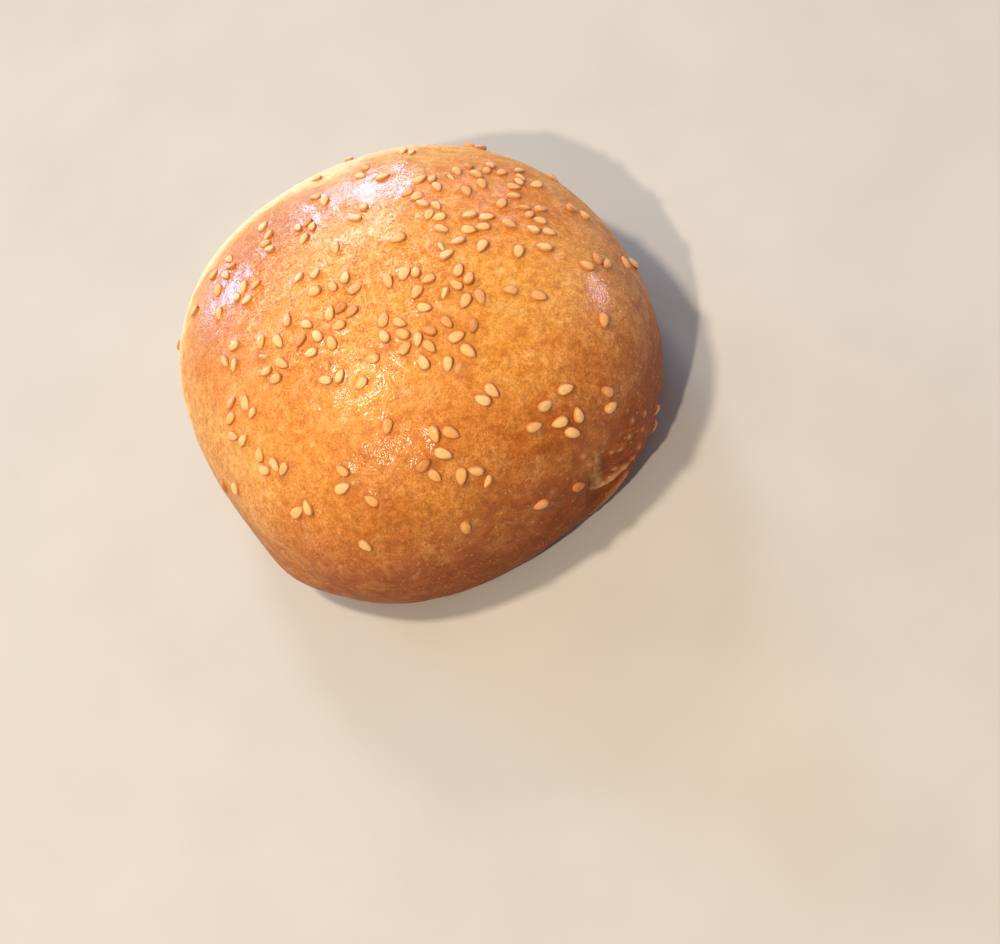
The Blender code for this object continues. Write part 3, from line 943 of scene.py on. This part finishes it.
def build_seeds(seeds):
    """All sesame seeds as one mesh, each with its own shape and shade."""
    draw = random.Random(SEED_LOOK_DRAW)
    unit, unit_faces = seed_template()
    count = len(unit)
    points, faces, places = [], [], []
    masks = {"shade": [], "glaze": [], "tip": [], "rim": []}
    for number, (pose, size, _) in enumerate(seeds):
        half = 0.5 * size * np.array((SEED_LENGTH, SEED_WIDTH, SEED_THICKNESS))
        local = seed_form(unit, draw) * half
        points.append(local @ np.array(pose.to_3x3()).T + np.array(pose.translation))
        faces += [tuple(number * count + corner for corner in face) for face in unit_faces]
        places.append(local * (STREAK_SHARE, 1.0, 1.0) * MM + number)
        if draw.random() < TOASTED_SHARE:
            shade = draw.uniform(*TOASTED_SHADE)
        else:
            shade = PLAIN_SHADE * draw.random() ** PLAIN_SHADE_POWER
        masks["shade"].append(np.full(count, shade))
        masks["glaze"].append(np.full(count, draw.random() ** GLAZE_POWER))
        masks["tip"].append(smooth_steps(*TIP_FADE, unit[:, 0]))
        # rim: the seed's darker edge and painted contact shade
        masks["rim"].append(smooth_steps(*RIM_FADE, np.hypot(unit[:, 0], unit[:, 1])))
    sesame = make_mesh("sesame_seeds", np.vstack(points), faces)
    for name, values in masks.items():
        add_mask(sesame, name, np.concatenate(values))
    places = np.vstack(places).astype(np.float32).ravel()
    sesame.data.attributes.new("own_place", "FLOAT_VECTOR", "POINT").data.foreach_set("vector", places)
    return sesame


class Shader:
    """A material's node tree, with short calls to add nodes and link them."""

    def __init__(self, name):
        self.material = bpy.data.materials.new(name)
        self.material.use_nodes = True
        self.tree = self.material.node_tree
        self.surface = self.tree.nodes["Principled BSDF"]
        self.place = self.add("ShaderNodeTexCoord").outputs["Object"]

    def add(self, kind, **settings):
        """Add a node and set its properties."""
        made = self.tree.nodes.new(kind)
        for name, value in settings.items():
            setattr(made, name, value)
        return made

    def feed(self, socket, value):
        """Link an output to a socket, or set the socket to a plain value."""
        if isinstance(value, bpy.types.NodeSocket):
            self.tree.links.new(value, socket)
        else:
            socket.default_value = value

    def set(self, name, value):
        """Feed an input of the surface."""
        self.feed(self.surface.inputs[name], value)

    def mask(self, name):
        """Read a value stored on the mesh."""
        return self.add("ShaderNodeAttribute", attribute_name=name).outputs["Fac"]

    def noise(self, wave, detail=2.0, rough=0.5, distort=0.0, place=None):
        """Noise between 0 and 1 with features about one wave across, in mm."""
        made = self.add("ShaderNodeTexNoise")
        self.feed(made.inputs["Vector"], self.place if place is None else place)
        for name, value in (("Scale", 1.0 / (wave * MM)), ("Detail", detail),
                            ("Roughness", rough), ("Distortion", distort)):
            made.inputs[name].default_value = value
        return made.outputs["Fac"]

    def ridges(self, wave, shift):
        """Distance from thin winding lines about half a wave apart, zero on them."""
        place = self.add("ShaderNodeVectorMath", operation="ADD")
        self.feed(place.inputs[0], self.place)
        place.inputs[1].default_value = (shift, shift, shift)
        waves = self.noise(wave, detail=1.0, distort=RIDGE_DISTORTION, place=place.outputs[0])
        return self.math("ABSOLUTE", self.math("SUBTRACT", waves, 0.5))

    def cells(self, wave):
        """Distance to the middle of the nearest cell, in cells."""
        made = self.add("ShaderNodeTexVoronoi")
        self.feed(made.inputs["Vector"], self.place)
        made.inputs["Scale"].default_value = 1.0 / (wave * MM)
        return made.outputs["Distance"]

    def math(self, operation, first, second=0.0, third=0.0):
        """Combine values."""
        made = self.add("ShaderNodeMath", operation=operation)
        for socket, value in zip(made.inputs, (first, second, third)):
            self.feed(socket, value)
        return made.outputs[0]

    def plus(self, first, second):
        """Add two values."""
        return self.math("ADD", first, second)

    def times(self, first, second):
        """Multiply two values."""
        return self.math("MULTIPLY", first, second)

    def ramp(self, value, low, high, start=0.0, end=1.0):
        """Move a value smoothly from start to end as it goes from low to high."""
        made = self.add("ShaderNodeMapRange", interpolation_type="SMOOTHSTEP")
        for name, given in (("Value", value), ("From Min", low), ("From Max", high),
                            ("To Min", start), ("To Max", end)):
            self.feed(made.inputs[name], given)
        return made.outputs["Result"]

    def mix(self, share, first, second):
        """Mix two colours."""
        made = self.add("ShaderNodeMix", data_type="RGBA")
        self.feed(made.inputs["Factor"], share)
        colours = [socket for socket in made.inputs if socket.type == "RGBA"]
        self.feed(colours[0], first)
        self.feed(colours[1], second)
        return [socket for socket in made.outputs if socket.type == "RGBA"][0]

    def blend(self, colour, pattern, tints):
        """Lay tints over a colour, each as a pattern goes between its two values."""
        for low, high, strength, over in tints:
            colour = self.mix(self.ramp(pattern, low, high, 0.0, strength), colour, over)
        return colour

    def tint(self, colour, tints):
        """Lay tints over a colour, each where its mask is and at its strength."""
        for mask, strength, over in tints:
            colour = self.mix(self.times(self.mask(mask), strength), colour, over)
        return colour

    def shaded(self, colour, value):
        """Scale a colour's brightness."""
        made = self.add("ShaderNodeHueSaturation")
        self.feed(made.inputs["Color"], colour)
        self.feed(made.inputs["Value"], value)
        return made.outputs["Color"]

    def bump(self, height, depth, below=None):
        """Bump of a depth in mm, on top of another bump."""
        made = self.add("ShaderNodeBump")
        made.inputs["Distance"].default_value = depth * MM
        self.feed(made.inputs["Height"], height)
        if below is not None:
            self.feed(made.inputs["Normal"], below)
        return made.outputs["Normal"]


def washed_colour(shader, patches, blotch, mottle):
    """Golden crust with its blotches and patches, before it browns."""
    colour = GOLDEN
    for pattern, tints in ((patches, PATCH_TINTS), (blotch, BLOTCH_TINTS), (mottle, MOTTLE_TINTS)):
        colour = shader.blend(colour, pattern, tints)
    return shader.tint(colour, WASH_TINTS)


def cream_colour(shader, blotch):
    """Crust that no wash reached: cream, and biscuit lower down."""
    biscuit = shader.times(shader.mask("biscuit"), shader.ramp(blotch, *BISCUIT_RAMP))
    return shader.mix(biscuit, CREAM, shader.blend(BISCUIT, blotch, BAKED_TINTS))


def crust_value(shader, mottle, curls, grain, close):
    """Brightness: painted glints on the curls, more uneven where the crust browns, painted shade in the
    creases.
    """
    value = shader.plus(shader.ramp(mottle, *MOTTLE_VALUE), shader.ramp(curls, *CURL_GLINT_VALUE))
    value = shader.plus(value, shader.ramp(grain, *GRAIN_VALUE))
    # painted shade in the creases of the close lines, with uneven mottle
    rough = shader.plus(shader.ramp(close, *CREASE_SHADE_VALUE), shader.ramp(mottle, *MOTTLE_ROUGH))
    return shader.plus(value, shader.times(rough, shader.mask("browning")))


def add_painted_glints(shader, colour, curls, grain, browning):
    """A colour with painted glints in the curls, the darker crust beside them and painted glint specks in the
    grain.
    """
    painted_glint = shader.mask("painted_glint")
    beside = shader.times(shader.ramp(curls, *BESIDE_INNER), shader.ramp(curls, *BESIDE_OUTER))
    colour = shader.mix(shader.times(beside, shader.times(painted_glint, BESIDE_SHARE)), colour, RUSSET)
    glinting = shader.times(shader.ramp(shader.noise(*GLINTS), *GLINT_RAMP), GLINT_SHARE)
    glinting = shader.math("MAXIMUM", painted_glint, glinting)
    glinting = shader.times(glinting, shader.ramp(shader.noise(*GLINT_BREAKS), *GLINT_BREAK))
    glint_paint = shader.times(shader.ramp(curls, *GLINT_LINE_RAMP), glinting)
    glint_paint = shader.times(glint_paint, shader.ramp(browning, *GLINT_LINE_BROWN))
    glint_paint = shader.plus(glint_paint, shader.times(shader.ramp(grain, *GRAIN_GLINT_RAMP), painted_glint))
    return shader.mix(glint_paint, colour, TAN)


def crust_bump(shader, coarse, close, dots):
    """Fine relief of the crust: lumps, winding lines, pimples, pores and dots."""
    normal = shader.bump(shader.noise(*SOFT_LUMPS), LUMP_DEPTH)
    for lines in (coarse, close):
        normal = shader.bump(shader.ramp(lines, *LINE_BUMP), LINE_DEPTH, normal)
    normal = shader.bump(shader.noise(*PIMPLES), PIMPLE_DEPTH, normal)
    normal = shader.bump(shader.noise(*PORES), PORE_DEPTH, normal)
    return shader.bump(dots, DOT_DEPTH, normal)


def crust_material():
    """Egg-washed crust: golden, browner low on the near side with painted foot shade, cream where no wash
    reached.
    """
    shader = Shader("crust_glazed")
    patches = shader.noise(*PATCHES)
    blotch = shader.noise(*BLOTCH)
    mottle = shader.noise(*MOTTLE)
    grain = shader.noise(*GRAIN)
    coarse = shader.ridges(*COARSE_LINES)
    close = shader.ridges(*CLOSE_LINES)
    curls = shader.ridges(*CURLS)
    golden = washed_colour(shader, patches, blotch, mottle)
    browning = shader.plus(shader.mask("browning"), shader.times(patches, PATCH_BROWNING))
    uneven = shader.times(shader.mask("browning"), shader.ramp(blotch, *UNEVEN_RAMP))
    browning = shader.plus(browning, uneven)
    # browning, with painted shade at the foot
    brown = shader.blend(golden, browning, BROWN_TINTS)
    mottling = shader.math("MULTIPLY_ADD", mottle, PALE_MOTTLE, -0.5 * PALE_MOTTLE)
    paleness = shader.plus(shader.mask("pale"), mottling)
    colour = shader.mix(shader.ramp(paleness, *PALE_RAMP), brown, cream_colour(shader, blotch))
    # painted shade in the creases of the close lines, where the wash is
    lines = shader.times(shader.ramp(close, *CREASE_SHADE_RAMP), shader.mask("washed"))
    colour = shader.mix(lines, colour, RUSSET)
    colour = shader.shaded(colour, crust_value(shader, mottle, curls, grain, close))
    # painted glints in the curls and the grain
    colour = add_painted_glints(shader, colour, curls, grain, browning)
    dots = shader.ramp(shader.cells(DOT_WAVE), *DOT_RAMP)
    colour = shader.mix(shader.times(dots, shader.ramp(browning, *DOT_BROWN)), colour, SPECK)
    under = shader.blend(BASE_BROWN, patches, UNDER_TINTS)
    colour = shader.mix(shader.mask("underside"), colour, under)
    # painted shade round the seeds and in the hollow
    colour = shader.tint(colour, PAINTED_SHADE_TINTS)
    skin = shader.times(shader.mask("skin"), shader.ramp(mottle, *SKIN_RAMP))
    colour = shader.mix(skin, colour, SKIN)
    # painted highlight on the crests and painted shade in the pit
    shader.set("Base Color", shader.tint(colour, HOLLOW_TINTS))
    bare = shader.math("MAXIMUM", shader.ramp(paleness, *BARE_RAMP), shader.mask("underside"))
    bare = shader.plus(bare, shader.times(grain, GRAIN_ROUGHNESS))
    shader.set("Roughness", shader.ramp(bare, *ROUGHNESS))
    gloss = shader.ramp(shader.noise(*GLOSS_PATCHES), *GLOSS_RAMP)
    shader.set("Coat Weight", shader.times(shader.mask("washed"), gloss))
    shader.set("Coat Roughness", 0.13)
    shader.set("Specular IOR Level", 0.15)
    shader.set("Subsurface Weight", 0.12)
    shader.set("Subsurface Radius", (1.0, 0.4, 0.15))
    shader.set("Subsurface Scale", 0.0015)
    normal = crust_bump(shader, coarse, close, dots)
    shader.set("Normal", normal)
    shader.set("Coat Normal", normal)
    return shader.material


def sesame_material():
    """Toasted sesame: pale gold, darker at the tip and rim (its own edge and painted contact shade), with a
    thin glaze.
    """
    shader = Shader("sesame_toasted")
    own_place = shader.add("ShaderNodeAttribute", attribute_name="own_place").outputs["Vector"]
    mottle = shader.noise(*SEED_MOTTLE)
    streaks = shader.noise(*SEED_STREAKS, place=own_place)
    mottling = shader.math("MULTIPLY_ADD", mottle, SHADE_MOTTLE, -0.5 * SHADE_MOTTLE)
    shade = shader.plus(shader.mask("shade"), mottling)
    colour = shader.blend(SEED_PALE, shade, SHADE_TINTS)
    colour = shader.blend(colour, streaks, STREAK_TINTS)
    shader.set("Base Color", shader.tint(colour, SEED_TINTS))
    shader.set("Roughness", shader.ramp(mottle, *SEED_ROUGHNESS))
    shader.set("Coat Weight", shader.ramp(shader.mask("glaze"), *SEED_COAT))
    shader.set("Coat Roughness", 0.25)
    shader.set("Specular IOR Level", 0.3)
    shader.set("Subsurface Weight", 0.1)
    shader.set("Subsurface Radius", (1.0, 0.6, 0.3))
    shader.set("Subsurface Scale", 0.0006)
    normal = shader.bump(streaks, STREAK_DEPTH)
    shader.set("Normal", shader.bump(mottle, SEED_MOTTLE_DEPTH, normal))
    return shader.material


def build_floor():
    """A wide plain pale floor."""
    reach = FLOOR_REACH / MM
    points = np.array([(x * reach, y * reach, 0.0) for x, y in ((-1, -1), (1, -1), (1, 1), (-1, 1))])
    floor = make_mesh("floor", points, [(0, 1, 2, 3)])
    shader = Shader("floor_pale")
    speck = shader.noise(*FLOOR_NOISE)
    shader.set("Base Color", shader.blend(FLOOR_LIGHT, speck, FLOOR_TINTS))
    shader.set("Roughness", shader.ramp(speck, *FLOOR_ROUGHNESS))
    shader.set("Specular IOR Level", 0.0)
    floor.data.materials.append(shader.material)
    return floor


def add_softbox(name, azimuth, elevation, distance, width, height, brightness, colour):
    """A soft area light that faces the bun, with a brightness that a white surface facing it would show."""
    ray = ray_at(azimuth, 90.0 - elevation)
    lamp = bpy.data.lights.new(name, "AREA")
    lamp.shape = "RECTANGLE"
    lamp.size, lamp.size_y = width, height
    lamp.energy = brightness * math.pi ** 2 * distance ** 2
    lamp.color = colour
    thing = bpy.data.objects.new(name, lamp)
    thing.location = ray * distance + AIM
    thing.rotation_euler = (-ray).to_track_quat("-Z", "Y").to_euler()
    thing.visible_camera = False
    bpy.context.scene.collection.objects.link(thing)


def add_lights():
    """Warm key and near fill from above, a mild far fill, and cool and mauve windows low down beyond."""
    for softbox in SOFTBOXES:
        add_softbox(*softbox)
    world = bpy.data.worlds.new("studio")
    world.use_nodes = True
    background = world.node_tree.nodes["Background"]
    background.inputs["Color"].default_value = WORLD_COLOR
    background.inputs["Strength"].default_value = WORLD_STRENGTH
    bpy.context.scene.world = world


def add_camera():
    """Camera at the photograph's angle."""
    back = Vector(CAMERA_BACK).normalized()
    right = Vector(CAMERA_UP).cross(back).normalized()
    up = back.cross(right)
    lens = bpy.data.cameras.new("camera")
    lens.sensor_width = CAMERA_SENSOR
    lens.lens = CAMERA_LENS
    lens.clip_start, lens.clip_end = CAMERA_CLIP
    camera = bpy.data.objects.new("camera", lens)
    turn = Matrix((right, up, back)).transposed().to_4x4()
    camera.matrix_world = Matrix.Translation(Vector(CAMERA_PLACE) * MM) @ turn
    bpy.context.scene.collection.objects.link(camera)
    bpy.context.scene.camera = camera


def main():
    """Build the scene."""
    seeds = scatter_seeds()
    crust = build_crust(seeds)
    crust.data.materials.append(crust_material())
    sesame = build_seeds(seeds)
    sesame.data.materials.append(sesame_material())
    for piece, slot in ((crust, "crust"), (sesame, "sesame")):
        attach(piece, "root")
        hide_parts("bun")
    build_floor()
    add_lights()
    add_camera()
    bpy.context.scene.view_settings.view_transform = "Standard"


main()
